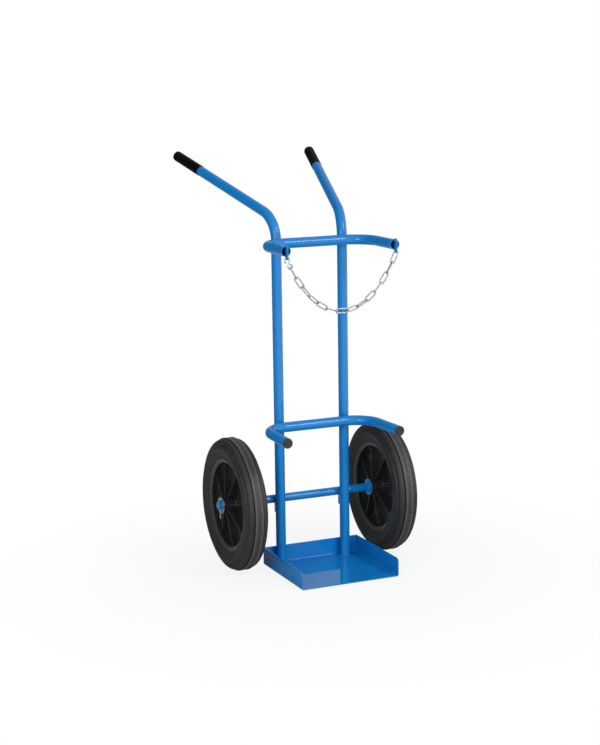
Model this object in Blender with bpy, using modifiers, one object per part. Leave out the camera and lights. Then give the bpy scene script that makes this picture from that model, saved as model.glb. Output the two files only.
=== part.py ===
# Gas cylinder cart: two bent tubes with hand grips carry two open cradles, a folded tray
# and an axle with two rubber-tyred wheels, and a chain closes the upper cradle.
# Metres, +Z up, front towards -Y. The origin is the middle of the tray's underside.
# Left and right are as seen from the front: left is -X.

from math import acos, asin, cos, cosh, hypot, pi, radians, sin, tan

import bmesh
import bpy
from mathutils import Matrix, Vector
from mathutils.geometry import intersect_point_line

# Clearances
SEAT_GAP = 0.0003
RUN_GAP = 0.0003
LINK_GAP = 0.0006
LUG_LIFT = 0.0004
PIN_GAP = 0.0003

# Folded tray
TRAY_WIDTH = 0.3135
TRAY_DEPTH = 0.286
TRAY_HEIGHT = 0.0544
SHEET = 0.003
SHEET_BEND = 0.002
TRAY_CORNER = 0.011

# Frame tubes, both uprights running on into the handles
TUBE = 0.030
TUBE_WALL = 0.002
UPRIGHT_SPACING = 0.2132
KINK_HEIGHT = 1.048
HANDLE_BEND = 0.088
HANDLE_SPLAY = 0.1207
HANDLE_REACH = 0.5027
HANDLE_RISE = 0.1653

# Cradles, measured between tube axes: across the back, across the mouth, and from the
# uprights' axes to the tube ends. The upper one lies below the kinks of the uprights.
CRADLE_BEND = 0.078
CRADLE_WIDTH = 0.3414
LOWER_CRADLE_HEIGHT = 0.4305
LOWER_CRADLE_MOUTH = 0.3578
LOWER_CRADLE_REACH = 0.2299
UPPER_CRADLE_DROP = 0.069
UPPER_CRADLE_MOUTH = 0.3414
UPPER_CRADLE_REACH = 0.2212

# Hand grips and cradle plugs
GRIP_GAP = 0.0005
GRIP_LENGTH = 0.140
GRIP_WALL = 0.0008
GRIP_CAP = 0.004
GRIP_ROUND = 0.008
PLUG_HEAD = 0.004
PLUG_ROUND = 0.002
PLUG_SPIGOT = 0.016

# Axle, its saddles, stop collars, washers and split pins
AXLE = 0.025
AXLE_END = 0.008
AXLE_CHAMFER = 0.0015
SADDLE_THICKNESS = 0.006
SADDLE_DROP = 0.050
SADDLE_SLOPE = 0.008
SADDLE_WRAP = 0.35
COLLAR = 0.050
COLLAR_THICKNESS = 0.004
COLLAR_NECK = 0.034
COLLAR_NECK_LENGTH = 0.004
WASHER = 0.052
WASHER_THICKNESS = 0.0033
PIN_WIRE = 0.003
PIN_EYE = 0.0105
PIN_LEG = 0.028
PIN_SPREAD = 0.002

# Wheels
WHEEL = 0.400
WHEEL_TRACK = 0.4888
TYRE_WIDTH = 0.074
TREAD_WIDTH = 0.024
TREAD_STEP = 0.004
TREAD_DRAFT = 0.001
TREAD_GROOVE = 0.003
SIDE_RIDGE = 0.013
SIDE_RIDGE_DEPTH = 0.030
SIDE_RIDGE_ARC = (2.25, 0.45)
SHOULDER_RIDGE = 0.012
SHOULDER_RIDGE_INSET = 0.0185
SHOULDER_RIDGE_ARC = (1.55, -0.35)
RIM = 0.282
RIM_WIDTH = 0.052
RIM_LIP = 0.015
RIM_LIP_EDGE = 0.0025
RIM_WELL = 0.008
RIM_WELL_TAPER = 0.002
RIM_BEVEL = 0.004
RIM_CROWN = 0.001
WEB_THICKNESS = 0.007
WEB_FILLET = 0.0035
HUB = 0.052
HUB_LENGTH = 0.080
HUB_TAPER = 0.003
RIB_COUNT = 8
# Degrees that the wheels have turned where they stand in the photo
RIB_TURN = -12.5
RIB_THICKNESS = 0.003
RIB_HUB_DEPTH = 0.030
RIB_RIM_DEPTH = 0.018
RIB_SINK = 0.0015
BUSH_WALL = 0.003
BUSH_LENGTH = 0.020

# Chain with its two lugs and the open hook at the left end
LUG_THICKNESS = 0.004
LUG_DEPTH = 0.013
LUG_HEIGHT = 0.042
LUG_DROP = 0.003
LUG_HOLE = 0.007
LINK_WIRE = 0.004
LINK_PITCH = 0.0333
LINK_WIDTH = 0.017
# One entry for every link: degrees it is turned against the piece before it
LINK_TURNS = (75, 75, 75, 75, 75, 75, 75, 75, 75, 85, 75, 75, 95, 75)
HOOK_TOP_WIDTH = 0.019
HOOK_EYE_WIDTH = 0.0165
HOOK_SPAN = 0.0205
HOOK_LIP = 0.3
HOOK_TAIL = 0.004
HOOK_EYE_TURN = 5.4

# Facet counts
TUBE_FACETS = 16
WIRE_FACETS = 6
PIPE_BEND_STEPS = 5
ARC_STEPS = 3
LINK_END_STEPS = 6
WHEEL_STEPS = 32
ROUND_STEPS = 16

# Places that follow from the sizes above
FLOOR_TOP = SHEET
UPRIGHT_X = UPRIGHT_SPACING / 2
UPRIGHT_Y = TRAY_DEPTH / 2 - SHEET - SHEET_BEND - SEAT_GAP - TUBE / 2
UPPER_CRADLE_HEIGHT = KINK_HEIGHT - UPPER_CRADLE_DROP
AXLE_Y = UPRIGHT_Y + TUBE / 2 + SEAT_GAP + AXLE / 2
AXLE_Z = WHEEL / 2
WHEEL_X = WHEEL_TRACK / 2
HUB_OUTER_X = WHEEL_X + HUB_LENGTH / 2
HUB_INNER_X = WHEEL_X - HUB_LENGTH / 2
WASHER_OUTER_X = HUB_OUTER_X + RUN_GAP + WASHER_THICKNESS
PIN_X = WASHER_OUTER_X + SEAT_GAP + PIN_WIRE / 2
AXLE_HALF = PIN_X + AXLE_END
BUSH_BORE = AXLE / 2 + RUN_GAP
HUB_BORE = BUSH_BORE + BUSH_WALL + SEAT_GAP
LUG_X = UPPER_CRADLE_MOUTH / 2
LUG_Y = UPRIGHT_Y - UPPER_CRADLE_REACH - SEAT_GAP - LUG_DEPTH / 2
LUG_Z = UPPER_CRADLE_HEIGHT - LUG_DROP
HOLE_Z = LUG_Z - LUG_HEIGHT / 2 + LUG_DEPTH / 2
SEAT_Z = HOLE_Z - LUG_HOLE / 2 + LUG_LIFT
SEAT_X = LUG_X + LUG_THICKNESS / 2
PIVOT_Z = SEAT_Z + (LINK_WIRE + LINK_GAP) / 2

SIDES = (("left", -1), ("right", 1))


# Scene helpers

def new_collection(name):
    collection = bpy.data.collections.new(name)
    bpy.context.scene.collection.children.link(collection)
    return collection


def linear(channel):
    if channel <= 0.04045:
        return channel / 12.92
    return ((channel + 0.055) / 1.055) ** 2.4


def new_material(name, colour, roughness, metallic):
    material = bpy.data.materials.new(name)
    material.use_nodes = True
    shader = material.node_tree.nodes["Principled BSDF"]
    shader.inputs["Base Color"].default_value = (*(linear(c / 255) for c in colour), 1)
    shader.inputs["Roughness"].default_value = roughness
    shader.inputs["Metallic"].default_value = metallic
    return material


def add_part(name, data, material, location=(0, 0, 0), parent=None):
    part = bpy.data.objects.new(name, data)
    data.materials.clear()
    data.materials.append(material)
    part.location = location
    part.parent = parent
    parts.objects.link(part)
    return part


def add_cutter(name, data, location=(0, 0, 0), parent=None):
    cutter = bpy.data.objects.new(name, data)
    cutter.location = location
    cutter.parent = parent
    cutter.hide_render = True
    cutter.display_type = "WIRE"
    cutters.objects.link(cutter)
    return cutter


def add_pivot(name, location, rotation=(0, 0, 0)):
    pivot = bpy.data.objects.new(name, None)
    pivot.location = location
    pivot.rotation_euler = rotation
    parts.objects.link(pivot)
    return pivot


# Shape helpers

def arc(centre, radius, start, end, steps):
    turn = (end - start) / steps
    return [
        (centre[0] + radius * cos(start + turn * i), centre[1] + radius * sin(start + turn * i))
        for i in range(steps + 1)
    ]


def rounded_path(corners, radius, steps):
    # Points along straight runs joined by arcs of one radius
    points = [Vector(corners[0])]
    for before, corner, after in zip(corners, corners[1:], corners[2:]):
        corner = Vector(corner)
        back = (Vector(before) - corner).normalized()
        onward = (Vector(after) - corner).normalized()
        bend = pi - back.angle(onward)
        centre = corner + (back + onward).normalized() * radius / cos(bend / 2)
        spoke = corner + back * radius * tan(bend / 2) - centre
        for i in range(steps + 1):
            angle = bend * i / steps
            points.append(centre + spoke * cos(angle) - back * radius * sin(angle))
    points.append(Vector(corners[-1]))
    return points


def distance_to_path(place, points):
    nearest = []
    for start, end in zip(points, points[1:]):
        foot, share = intersect_point_line(place, start, end)
        if share < 0:
            foot = start
        if share > 1:
            foot = end
        nearest.append((place - foot).length)
    return min(nearest)


def curve_through(name, points, diameter, facets, cyclic=False, caps=True):
    curve = bpy.data.curves.new(name, "CURVE")
    curve.dimensions = "3D"
    curve.bevel_depth = diameter / 2
    curve.bevel_resolution = (facets - 4) // 2
    curve.use_fill_caps = caps
    spline = curve.splines.new("POLY")
    spline.points.add(len(points) - 1)
    for point, place in zip(spline.points, points):
        point.co = (*place, 1)
    spline.use_cyclic_u = cyclic
    return curve


def mesh_from_curve(curve):
    holder = bpy.data.objects.new(curve.name, curve)
    cutters.objects.link(holder)
    bpy.context.view_layer.update()
    evaluated = holder.evaluated_get(bpy.context.evaluated_depsgraph_get())
    mesh = bpy.data.meshes.new_from_object(evaluated)
    bpy.data.objects.remove(holder)
    bpy.data.curves.remove(curve)
    welded = bmesh.new()
    welded.from_mesh(mesh)
    bmesh.ops.remove_doubles(welded, verts=welded.verts, dist=0.00001)
    welded.to_mesh(mesh)
    welded.free()
    return mesh


def add_pipe(name, points, material):
    # A frame tube is the skin of its centre line, thickened inwards to its wall
    mesh = mesh_from_curve(curve_through(name, points, TUBE, TUBE_FACETS, caps=False))
    pipe = add_part(name, mesh, material)
    wall = pipe.modifiers.new("Wall", "SOLIDIFY")
    wall.thickness = TUBE_WALL
    wall.offset = -1
    wall.use_even_offset = True
    return pipe


def outline_curve(name, loops, thickness):
    # A flat outline, with any holes, drawn in the curve's own XY plane
    curve = bpy.data.curves.new(name, "CURVE")
    curve.dimensions = "2D"
    curve.fill_mode = "BOTH"
    curve.extrude = thickness / 2
    for loop in loops:
        spline = curve.splines.new("POLY")
        spline.points.add(len(loop) - 1)
        for point, place in zip(spline.points, loop):
            point.co = (*place, 0, 1)
        spline.use_cyclic_u = True
    return curve


def turned_mesh(name, profile, closed):
    # Profile points are (radius, height), running down the outer side
    edges = [(i, i + 1) for i in range(len(profile) - 1)]
    if closed:
        edges.append((len(profile) - 1, 0))
    mesh = bpy.data.meshes.new(name)
    mesh.from_pydata([(radius, 0, height) for radius, height in profile], edges, [])
    return mesh


def turn(part, steps):
    screw = part.modifiers.new("Turn", "SCREW")
    screw.steps = steps
    screw.render_steps = steps
    screw.use_merge_vertices = True
    screw.merge_threshold = 0.00001


def cut(part, other, operation="DIFFERENCE"):
    boolean = part.modifiers.new(other.name, "BOOLEAN")
    boolean.operation = operation
    boolean.solver = "EXACT"
    boolean.object = other


def ring_profile(inner, outer, bottom, top):
    return [(outer, top), (outer, bottom), (inner, bottom), (inner, top)]


# Frame

def make_tray():
    sheet = bmesh.new()
    bmesh.ops.create_cube(sheet, size=1)
    bmesh.ops.scale(sheet, vec=(TRAY_WIDTH, TRAY_DEPTH, TRAY_HEIGHT), verts=sheet.verts)
    bmesh.ops.translate(sheet, vec=(0, 0, TRAY_HEIGHT / 2), verts=sheet.verts)
    open_sides = [face for face in sheet.faces if face.normal.z > 0.5 or face.normal.y < -0.5]
    bmesh.ops.delete(sheet, geom=open_sides, context="FACES")
    floor = next(face for face in sheet.faces if face.normal.z < -0.5)
    folds = [edge for edge in floor.edges if len(edge.link_faces) == 2]
    bmesh.ops.bevel(sheet, geom=folds, offset=SHEET + SHEET_BEND, segments=ARC_STEPS, profile=0.5,
                    affect="EDGES")
    top_front = [
        vert for vert in sheet.verts
        if vert.co.z > TRAY_HEIGHT - SHEET and vert.co.y < 0
    ]
    bmesh.ops.bevel(sheet, geom=top_front, offset=TRAY_CORNER, segments=ARC_STEPS, profile=0.5,
                    affect="VERTICES")
    mesh = bpy.data.meshes.new("base_tray")
    sheet.to_mesh(mesh)
    sheet.free()
    tray = add_part("base_tray", mesh, blue)
    wall = tray.modifiers.new("Sheet", "SOLIDIFY")
    wall.thickness = SHEET
    wall.offset = -1
    wall.use_even_offset = True


def handle_run(side):
    return Vector((side * HANDLE_SPLAY, HANDLE_REACH, HANDLE_RISE))


def handle_tip(side):
    return Vector((side * UPRIGHT_X, UPRIGHT_Y, KINK_HEIGHT)) + handle_run(side)


def make_upright(name, side):
    foot = Vector((side * UPRIGHT_X, UPRIGHT_Y, FLOOR_TOP + SEAT_GAP))
    kink = Vector((side * UPRIGHT_X, UPRIGHT_Y, KINK_HEIGHT))
    end = handle_tip(side) - handle_run(side).normalized() * (GRIP_CAP + SEAT_GAP)
    path = rounded_path([foot, kink, end], HANDLE_BEND, PIPE_BEND_STEPS)
    add_pipe(name + "_upright", path, blue)


def make_grip(name, side):
    inner = TUBE / 2 + GRIP_GAP
    outer = inner + GRIP_WALL
    dome = arc((outer - GRIP_ROUND, -GRIP_ROUND), GRIP_ROUND, pi / 2, 0, ARC_STEPS)
    profile = [(0, 0)] + dome + [(outer, -GRIP_LENGTH), (inner, -GRIP_LENGTH)]
    profile += [(inner, -GRIP_CAP), (0, -GRIP_CAP)]
    label = name + "_grip"
    grip = add_part(label, turned_mesh(label, profile, closed=False), black, handle_tip(side))
    grip.rotation_euler = handle_run(side).to_track_quat("Z", "Y").to_euler()
    turn(grip, ROUND_STEPS)


def cradle_path(height, mouth, reach):
    # The crossbar lies as far back as the uprights let it, also where they meet its bends
    front = UPRIGHT_Y - reach
    upright = Vector((UPRIGHT_X, UPRIGHT_Y, height))
    free, blocked = front, UPRIGHT_Y
    for _ in range(40):
        crossbar = (free + blocked) / 2
        corners = [
            (-mouth / 2, front, height),
            (-CRADLE_WIDTH / 2, crossbar, height),
            (CRADLE_WIDTH / 2, crossbar, height),
            (mouth / 2, front, height),
        ]
        path = rounded_path(corners, CRADLE_BEND, PIPE_BEND_STEPS)
        if distance_to_path(upright, path) < TUBE + SEAT_GAP:
            blocked = crossbar
        else:
            free = crossbar
    return path


def make_plug(name, end, before):
    # A capped spigot pushed into each end of the lower cradle, whose arms open outwards
    arm = end - before
    head = TUBE / 2
    spigot = TUBE / 2 - TUBE_WALL - SEAT_GAP
    rounding = arc((head - PLUG_ROUND, PLUG_HEAD - PLUG_ROUND), PLUG_ROUND, pi / 2, 0, ARC_STEPS)
    profile = [(0, PLUG_HEAD)] + rounding + [(head, 0), (spigot, 0)]
    profile += [(spigot, -PLUG_SPIGOT), (0, -PLUG_SPIGOT)]
    label = name + "_cradle_plug"
    place = end + arm.normalized() * SEAT_GAP
    plug = add_part(label, turned_mesh(label, profile, closed=False), black, place)
    plug.rotation_euler = arm.to_track_quat("Z", "Y").to_euler()
    turn(plug, ROUND_STEPS)


def make_lug(name, side):
    # A round-ended flat bar stands across each mouth of the upper cradle
    end = LUG_DEPTH / 2
    straight = LUG_HEIGHT / 2 - end
    outline = arc((0, straight), end, 0, pi, 2 * ARC_STEPS)
    outline += arc((0, -straight), end, pi, 2 * pi, 2 * ARC_STEPS)
    hole = arc((0, -straight), LUG_HOLE / 2, 0, 2 * pi, 4 * ARC_STEPS)[:-1]
    label = name + "_chain_lug"
    lug = add_part(label, outline_curve(label, [outline, hole], LUG_THICKNESS), blue)
    lug.location = (side * LUG_X, LUG_Y, LUG_Z)
    lug.rotation_euler = (pi / 2, 0, pi / 2)


# Axle group

def make_axle():
    bpy.ops.mesh.primitive_cylinder_add(vertices=ROUND_STEPS, radius=AXLE / 2, depth=2 * AXLE_HALF)
    blank = bpy.context.object
    mesh = blank.data
    bpy.data.objects.remove(blank)
    axle = add_part("axle", mesh, blue, (0, AXLE_Y, AXLE_Z))
    axle.rotation_euler = (0, pi / 2, 0)
    chamfer = axle.modifiers.new("Chamfer", "BEVEL")
    chamfer.width = AXLE_CHAMFER
    chamfer.segments = 1
    chamfer.limit_method = "ANGLE"
    hole = bmesh.new()
    bmesh.ops.create_cone(hole, cap_ends=True, segments=4 * ARC_STEPS, radius1=pin_hole() / 2,
                          radius2=pin_hole() / 2, depth=2 * AXLE)
    mesh = bpy.data.meshes.new("pin_hole")
    hole.to_mesh(mesh)
    hole.free()
    for name, side in SIDES:
        cut(axle, add_cutter(name + "_pin_hole", mesh, (side * PIN_X, AXLE_Y, AXLE_Z)))


def pin_hole():
    return 2 * PIN_WIRE + 4 * PIN_GAP


def make_saddle(name, side):
    # A plate behind each upright cups the axle from below and slopes to the tube at its foot
    front = UPRIGHT_Y + TUBE / 2 + SEAT_GAP
    cup = AXLE / 2 + SEAT_GAP
    back = AXLE_Y + cup * cos(SADDLE_WRAP)
    bottom = AXLE_Z - SADDLE_DROP
    outline = arc((AXLE_Y, AXLE_Z), cup, 2 * pi - SADDLE_WRAP, pi + SADDLE_WRAP, 2 * ARC_STEPS)
    outline += [(front, outline[-1][1]), (front, bottom), (back, bottom + SADDLE_SLOPE)]
    label = name + "_axle_saddle"
    saddle = add_part(label, outline_curve(label, [outline], SADDLE_THICKNESS), blue)
    saddle.location = (side * UPRIGHT_X, 0, 0)
    saddle.rotation_euler = (pi / 2, 0, pi / 2)


def make_collar(name, side):
    inner = AXLE / 2 + SEAT_GAP
    neck_end = COLLAR_THICKNESS + COLLAR_NECK_LENGTH
    profile = [
        (COLLAR_NECK / 2, neck_end),
        (COLLAR_NECK / 2, COLLAR_THICKNESS),
        (COLLAR / 2, COLLAR_THICKNESS),
        (COLLAR / 2, 0),
        (inner, 0),
        (inner, neck_end),
    ]
    label = name + "_stop_collar"
    collar = add_part(label, turned_mesh(label, profile, closed=True), blue)
    collar.location = (side * (HUB_INNER_X - RUN_GAP), AXLE_Y, AXLE_Z)
    collar.rotation_euler = (0, -side * pi / 2, 0)
    turn(collar, ROUND_STEPS)


def make_washer(name, side):
    label = name + "_hub_washer"
    profile = ring_profile(AXLE / 2 + SEAT_GAP, WASHER / 2, 0, WASHER_THICKNESS)
    washer = add_part(label, turned_mesh(label, profile, closed=True), zinc)
    washer.location = (side * (HUB_OUTER_X + RUN_GAP), AXLE_Y, AXLE_Z)
    washer.rotation_euler = (0, side * pi / 2, 0)
    turn(washer, ROUND_STEPS)


def make_split_pin(name, side):
    # One wire: down a leg, bent away, and the same on the other side of the eye above the axle
    leg = (PIN_WIRE + PIN_GAP) / 2
    eye = PIN_EYE / 2
    top = AXLE / 2 + SEAT_GAP + PIN_WIRE / 2 + eye
    neck = asin(leg / eye)
    round_eye = arc((0, top), eye, -pi / 2 + neck, 3 * pi / 2 - neck, 3 * ARC_STEPS)
    half = [
        (leg + PIN_SPREAD, -AXLE / 2 - PIN_LEG),
        (leg + PIN_SPREAD / 4, -AXLE / 2 - PIN_LEG / 2),
        (leg, -AXLE / 2),
    ]
    other = [(-across, height) for across, height in reversed(half)]
    path = [(0, across, height) for across, height in half + round_eye + other]
    label = name + "_split_pin"
    add_part(label, curve_through(label, path, PIN_WIRE, WIRE_FACETS), zinc, (side * PIN_X, AXLE_Y, AXLE_Z))


# Wheels

def mirrored(half):
    # A profile that is the same on both faces of the wheel, from its outer half
    return half + [(radius, -across) for radius, across in reversed(half)]


def tyre_profile():
    tread = WHEEL / 2
    lip = RIM / 2 + SEAT_GAP
    side_centre = (tread - SIDE_RIDGE_DEPTH, TYRE_WIDTH / 2 - SIDE_RIDGE)
    shoulder_centre = (tread - TREAD_STEP - SHOULDER_RIDGE, TYRE_WIDTH / 2 - SHOULDER_RIDGE_INSET)
    bead = [
        (RIM / 2 - RIM_WELL + SEAT_GAP, RIM_WIDTH / 2 - RIM_LIP_EDGE - SEAT_GAP - RIM_WELL_TAPER),
        (lip, RIM_WIDTH / 2 - RIM_LIP_EDGE - SEAT_GAP),
        (lip, RIM_WIDTH / 2),
    ]
    side = arc(side_centre, SIDE_RIDGE, *SIDE_RIDGE_ARC, ARC_STEPS + 1)
    shoulder = arc(shoulder_centre, SHOULDER_RIDGE, *SHOULDER_RIDGE_ARC, ARC_STEPS - 1)
    foot = tread - TREAD_STEP - TREAD_GROOVE
    band = [(foot, TREAD_WIDTH / 2 + TREAD_DRAFT), (tread, TREAD_WIDTH / 2)]
    return mirrored(bead + side + shoulder + band)


def rim_profile():
    lip = RIM / 2
    face = RIM_WIDTH / 2
    barrel = lip - RIM_LIP
    web = WEB_THICKNESS / 2
    bore_half = [
        (HUB_BORE, HUB_LENGTH / 2),
        (HUB / 2 - HUB_TAPER, HUB_LENGTH / 2),
        (HUB / 2, web),
        (barrel - WEB_FILLET, web),
        (barrel, web + WEB_FILLET),
        (barrel, face - RIM_BEVEL),
        (lip - RIM_BEVEL, face + RIM_CROWN),
        (lip, face),
        (lip, face - RIM_LIP_EDGE),
        (lip - RIM_WELL, face - RIM_LIP_EDGE - RIM_WELL_TAPER),
    ]
    return mirrored(bore_half)


def rib_mesh():
    # Every rib is one fin that crosses the web, deeper at the hub than at the rim
    root = HUB / 2 - HUB_TAPER - RIB_SINK
    tip = RIM / 2 - RIM_LIP + RIB_SINK
    fin = [(root, RIB_HUB_DEPTH), (root, -RIB_HUB_DEPTH), (tip, -RIB_RIM_DEPTH), (tip, RIB_RIM_DEPTH)]
    flat = mesh_from_curve(outline_curve("rib", [fin], RIB_THICKNESS))
    flat.transform(Matrix.Rotation(pi / 2, 4, "X"))
    fins = bmesh.new()
    for index in range(RIB_COUNT):
        fin_copy = flat.copy()
        fin_copy.transform(Matrix.Rotation(radians(RIB_TURN) + 2 * pi * index / RIB_COUNT, 4, "Z"))
        fins.from_mesh(fin_copy)
        bpy.data.meshes.remove(fin_copy)
    bmesh.ops.recalc_face_normals(fins, faces=fins.faces)
    fins.to_mesh(flat)
    fins.free()
    return flat


def make_wheel(name, side, ribs):
    pivot = add_pivot(name + "_wheel_axis", (side * WHEEL_X, AXLE_Y, AXLE_Z), (0, pi / 2, 0))
    label = name + "_tyre"
    tyre = add_part(label, turned_mesh(label, tyre_profile(), closed=True), rubber, parent=pivot)
    turn(tyre, WHEEL_STEPS)
    label = name + "_rim"
    rim = add_part(label, turned_mesh(label, rim_profile(), closed=True), black, parent=pivot)
    turn(rim, WHEEL_STEPS)
    cut(rim, add_cutter(name + "_rim_ribs", ribs, parent=pivot), "UNION")
    for place, end in (("inner", -side), ("outer", side)):
        label = f"{name}_{place}_bush"
        top = HUB_LENGTH / 2
        profile = ring_profile(BUSH_BORE, BUSH_BORE + BUSH_WALL, top - BUSH_LENGTH, top)
        bush = add_part(label, turned_mesh(label, profile, closed=True), bush_white, parent=pivot)
        bush.rotation_euler = (0, 0 if end > 0 else pi, 0)
        turn(bush, ROUND_STEPS)


# Chain

def catenary_seats(lengths, span):
    # Seats of a chain that hangs between two points at one height, as (x, drop) pairs
    def step_on(x, length, slack):
        low, high = x, x + length
        for _ in range(50):
            middle = (low + high) / 2
            rise = slack * (cosh(middle / slack) - cosh(x / slack))
            if hypot(middle - x, rise) < length:
                low = middle
            else:
                high = middle
        return low

    def walk(slack):
        places = [-span / 2]
        for length in lengths:
            places.append(step_on(places[-1], length, slack))
        return places

    tight, loose = span / 12, span * 4
    for _ in range(50):
        slack = (tight + loose) / 2
        if walk(slack)[-1] < span / 2:
            tight = slack
        else:
            loose = slack
    return [(x, slack * (cosh(x / slack) - cosh(span / 2 / slack))) for x in walk(slack)]


def link_path():
    # A long link: two half rounds and straight sides, lying along the curve's X
    bend = (LINK_WIDTH - LINK_WIRE) / 2
    centre = (LINK_PITCH + LINK_GAP + LINK_WIRE) / 2 - bend
    outline = arc((centre, 0), bend, -pi / 2, pi / 2, LINK_END_STEPS)
    outline += arc((-centre, 0), bend, pi / 2, 3 * pi / 2, LINK_END_STEPS)
    return [(along, across, 0) for along, across in outline]


def hook_sizes():
    top = (HOOK_TOP_WIDTH - LINK_WIRE) / 2
    eye = (HOOK_EYE_WIDTH - LINK_WIRE) / 2
    length = HOOK_SPAN + top + eye - LINK_WIRE - LINK_GAP
    return top, eye, length


def hook_path():
    # An open hook over an eye, joined by the straight line that touches both rounds. The
    # eye's end lies beside that line.
    top, eye, _ = hook_sizes()
    touch = acos((top + eye) / HOOK_SPAN)
    lip = 3 * pi / 2 + HOOK_LIP
    upper = arc((-HOOK_SPAN / 2, 0), top, lip, touch, 2 * LINK_END_STEPS)
    tail = (upper[0][0] - HOOK_TAIL * sin(lip), upper[0][1] + HOOK_TAIL * cos(lip))
    path = [(along, across, 0) for along, across in [tail] + upper]
    steps = 3 * LINK_END_STEPS
    lower = arc((HOOK_SPAN / 2, 0), eye, touch + pi, touch + pi + HOOK_EYE_TURN, steps)
    for i, (along, across) in enumerate(lower):
        aside = max(0, 2 * i / steps - 1)
        path.append((along, across, aside * (LINK_WIRE + LINK_GAP)))
    return path


def make_chain():
    pivot = add_pivot("chain_axis", (0, LUG_Y, PIVOT_Z))
    hook_length = hook_sizes()[2]
    lengths = [hook_length] + [LINK_PITCH] * len(LINK_TURNS)
    seats = [
        Vector((x, 0, SEAT_Z - PIVOT_Z + drop))
        for x, drop in catenary_seats(lengths, 2 * SEAT_X)
    ]
    twist = 0
    for index, (start, end) in enumerate(zip(seats, seats[1:])):
        if index == 0:
            name = "chain_hook"
            data = curve_through(name, hook_path(), LINK_WIRE, WIRE_FACETS)
        else:
            name = f"chain_link_{index:02d}"
            data = curve_through(name, link_path(), LINK_WIRE, WIRE_FACETS, cyclic=True)
            twist -= radians(LINK_TURNS[index - 1])
        piece = add_part(name, data, zinc, (start + end) / 2, pivot)
        along = (end - start).normalized()
        across = along.cross(Vector((0, 1, 0)))
        facing = Matrix((along, across, along.cross(across))).transposed()
        piece.rotation_euler = (facing @ Matrix.Rotation(twist, 3, "X")).to_euler()


for old in list(bpy.data.objects):
    bpy.data.objects.remove(old, do_unlink=True)
parts = new_collection("gas_cylinder_cart")
cutters = new_collection("cutters")
blue = new_material("blue_paint", (20, 104, 182), 0.25, 0.0)
black = new_material("black_plastic", (34, 32, 31), 0.45, 0.0)
rubber = new_material("tyre_rubber", (46, 44, 41), 0.7, 0.0)
zinc = new_material("zinc_plate", (196, 198, 196), 0.3, 1.0)
bush_white = new_material("bush_plastic", (214, 210, 200), 0.5, 0.0)

make_tray()
for side_name, side_sign in SIDES:
    make_upright(side_name, side_sign)
    make_grip(side_name, side_sign)
lower_path = cradle_path(LOWER_CRADLE_HEIGHT, LOWER_CRADLE_MOUTH, LOWER_CRADLE_REACH)
upper_path = cradle_path(UPPER_CRADLE_HEIGHT, UPPER_CRADLE_MOUTH, UPPER_CRADLE_REACH)
add_pipe("lower_cradle", lower_path, blue)
add_pipe("upper_cradle", upper_path, blue)
make_plug("left", lower_path[0], lower_path[1])
make_plug("right", lower_path[-1], lower_path[-2])
make_axle()
rib_fins = rib_mesh()
for side_name, side_sign in SIDES:
    make_lug(side_name, side_sign)
    make_saddle(side_name, side_sign)
    make_collar(side_name, side_sign)
    make_washer(side_name, side_sign)
    make_split_pin(side_name, side_sign)
    make_wheel(side_name, side_sign, rib_fins)
make_chain()
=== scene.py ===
from math import acos, asin, atan2, cos, pi, radians, sin, tan

import bmesh
import bpy
import numpy as np
from mathutils import Matrix, Vector


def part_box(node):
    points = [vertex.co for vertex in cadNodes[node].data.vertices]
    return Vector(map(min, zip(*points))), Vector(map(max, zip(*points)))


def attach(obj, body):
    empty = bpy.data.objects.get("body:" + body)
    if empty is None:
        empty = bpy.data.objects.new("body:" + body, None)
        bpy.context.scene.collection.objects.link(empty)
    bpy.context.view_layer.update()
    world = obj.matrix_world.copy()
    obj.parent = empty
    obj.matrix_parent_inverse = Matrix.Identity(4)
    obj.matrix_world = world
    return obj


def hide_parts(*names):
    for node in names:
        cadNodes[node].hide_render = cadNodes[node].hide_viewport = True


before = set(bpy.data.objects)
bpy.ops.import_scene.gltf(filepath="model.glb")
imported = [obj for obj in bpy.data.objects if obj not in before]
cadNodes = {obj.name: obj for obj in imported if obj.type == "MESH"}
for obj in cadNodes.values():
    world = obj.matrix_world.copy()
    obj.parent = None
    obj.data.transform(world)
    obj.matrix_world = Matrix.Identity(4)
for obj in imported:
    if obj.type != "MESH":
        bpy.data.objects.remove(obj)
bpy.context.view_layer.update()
sides = {"left": -1, "right": 1}  # as seen from the front
print("frame loaded:", len(cadNodes), "nodes")

# Working on one mesh at a time
meshSet = {"merge": 0.000004, "sharp": 50, "smooth": 35, "draftRing": 0.01}


def letGo():
    if bpy.context.object and bpy.context.object.mode != "OBJECT":
        bpy.ops.object.mode_set(mode="OBJECT")
    bpy.ops.object.select_all(action="DESELECT")


def hold(piece):
    letGo()
    piece.select_set(True)
    bpy.context.view_layer.objects.active = piece


def setDown(piece):  # its place goes into its mesh
    hold(piece)
    bpy.ops.object.transform_apply(location=True, rotation=True, scale=True)


def pick(kind, test):  # select verts, edges or faces by their place
    bpy.ops.mesh.select_mode(type=kind)
    bpy.ops.mesh.select_all(action="DESELECT")
    mesh = bmesh.from_edit_mesh(bpy.context.object.data)
    for part in {"VERT": mesh.verts, "EDGE": mesh.edges, "FACE": mesh.faces}[kind]:
        if test(part):
            part.select_set(True)
    mesh.select_flush_mode()
    bmesh.update_edit_mesh(bpy.context.object.data)


def pickAll():
    bpy.ops.mesh.select_all(action="SELECT")


def placePoints(points):  # move a draft's points to their places, in their order
    mesh = bmesh.from_edit_mesh(bpy.context.object.data)
    for vert, point in zip(mesh.verts, points):
        vert.co = point
    bmesh.update_edit_mesh(bpy.context.object.data)


def pull(step):
    bpy.ops.mesh.extrude_region_move(TRANSFORM_OT_translate={"value": tuple(step)})


def swell(share, middle):
    bpy.ops.transform.resize(value=(share, share, share), center_override=tuple(middle))


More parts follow.
